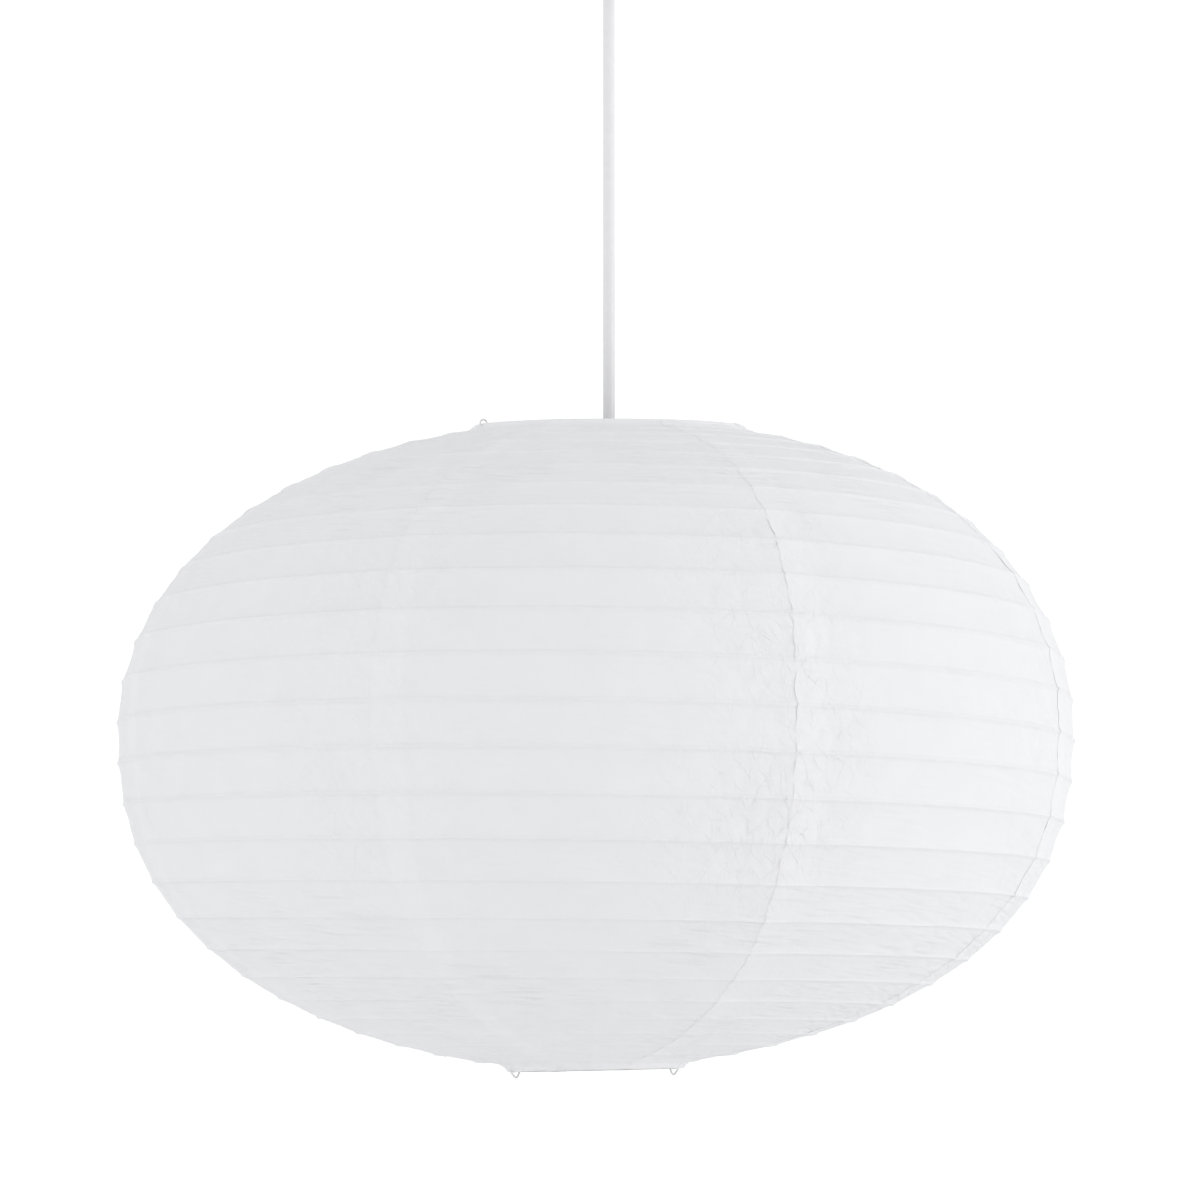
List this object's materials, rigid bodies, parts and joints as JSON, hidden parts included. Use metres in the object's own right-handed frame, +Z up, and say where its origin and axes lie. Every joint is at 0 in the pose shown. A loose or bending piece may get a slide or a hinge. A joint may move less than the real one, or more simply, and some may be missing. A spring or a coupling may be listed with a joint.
{
  "type": "paper pendant lamp",
  "caption": "Oval collapsible rice-paper pendant lamp: paper shade on a wire spiral, held open by a wire expander on a lampholder, hanging on a round cord from a ceiling canopy.",
  "frame": {"origin": "centre of the ceiling bracket's flat top face, where the lamp meets the ceiling", "axes": "+Z up along the hanging cord, -Y to the front of the lamp"},
  "size_m": [0.4972, 0.4972, 0.6517],
  "materials": {
    "paper": "thin white rice paper, matt, slightly translucent",
    "cord_sheath": "smooth white PVC sheath",
    "white_plastic": "moulded, satin",
    "expander_wire": "white lacquered steel wire",
    "rib_wire": "thin white coated steel wire",
    "zinc_steel": "zinc plated",
    "brass": "bright brass",
    "ceramic": "unglazed steatite",
    "bulb_glass": "frosted white",
    "bulb_shell": "rolled thread",
    "black_glass": "black vitreous insulator",
    "core_brown": "PVC core insulation",
    "core_blue": "PVC core insulation"
  },
  "bodies": {
    "ceiling": {"ceiling_bracket": "zinc_steel", "canopy_cup": "white_plastic", "canopy_screw_left": "zinc_steel", "canopy_screw_right": "zinc_steel", "gland_body": "white_plastic", "gland_nut": "white_plastic", "terminal_block": "white_plastic", "terminal_screw_1": "brass", "terminal_screw_2": "brass", "terminal_screw_3": "brass", "terminal_screw_4": "brass", "conductor_brown": "core_brown", "conductor_blue": "core_blue"},
    "cord_top": {"cord_stub": "cord_sheath"},
    "pendant": {"pendant_cord": "cord_sheath", "holder_cap": "white_plastic", "cord_clamp_screw": "zinc_steel", "holder_skirt": "white_plastic", "shade_ring": "white_plastic", "contact_insert": "ceramic", "centre_contact": "brass", "side_contact": "brass", "holder_terminal_left": "brass", "holder_terminal_right": "brass", "expander_bar_left": "expander_wire", "expander_bar_right": "expander_wire", "holder_wire_front": "expander_wire", "holder_wire_back": "expander_wire", "top_rim_wire": "expander_wire", "rib_spiral": "rib_wire", "paper_gore_1": "paper", "paper_gore_2": "paper", "paper_gore_3": "paper", "paper_gore_4": "paper", "paper_gore_5": "paper", "paper_gore_6": "paper", "paper_gore_7": "paper", "paper_gore_8": "paper"},
    "shade_bottom": {"bottom_rim_wire": "expander_wire"},
    "bulb": {"bulb_cap": "bulb_shell", "bulb_glass": "bulb_glass", "bulb_insulator": "black_glass", "bulb_foot": "brass"}
  },
  "joints": [
    {"name": "pendant_turn", "type": "hinge", "parent": "ceiling", "child": "cord_top", "pos_m": [0, 0, -0.063], "axis": [0, 0, 1], "range_deg": [-90, 90]},
    {"name": "pendant_swing", "type": "hinge", "parent": "cord_top", "child": "pendant", "pos_m": [0, 0, -0.063], "axis": [1, 0, 0], "range_deg": [-25, 25]},
    {"name": "shade_fold", "type": "slide", "parent": "pendant", "child": "shade_bottom", "axis": [0, 0, 1], "range_m": [0, 0.28], "deforming": ["rib_spiral", "paper_gore_1", "paper_gore_2", "paper_gore_3", "paper_gore_4", "paper_gore_5", "paper_gore_6", "paper_gore_7", "paper_gore_8"]},
    {"name": "bulb_unscrew", "type": "slide", "parent": "pendant", "child": "bulb", "axis": [0, 0, -1], "range_m": [0, 0.03]}
  ]
}
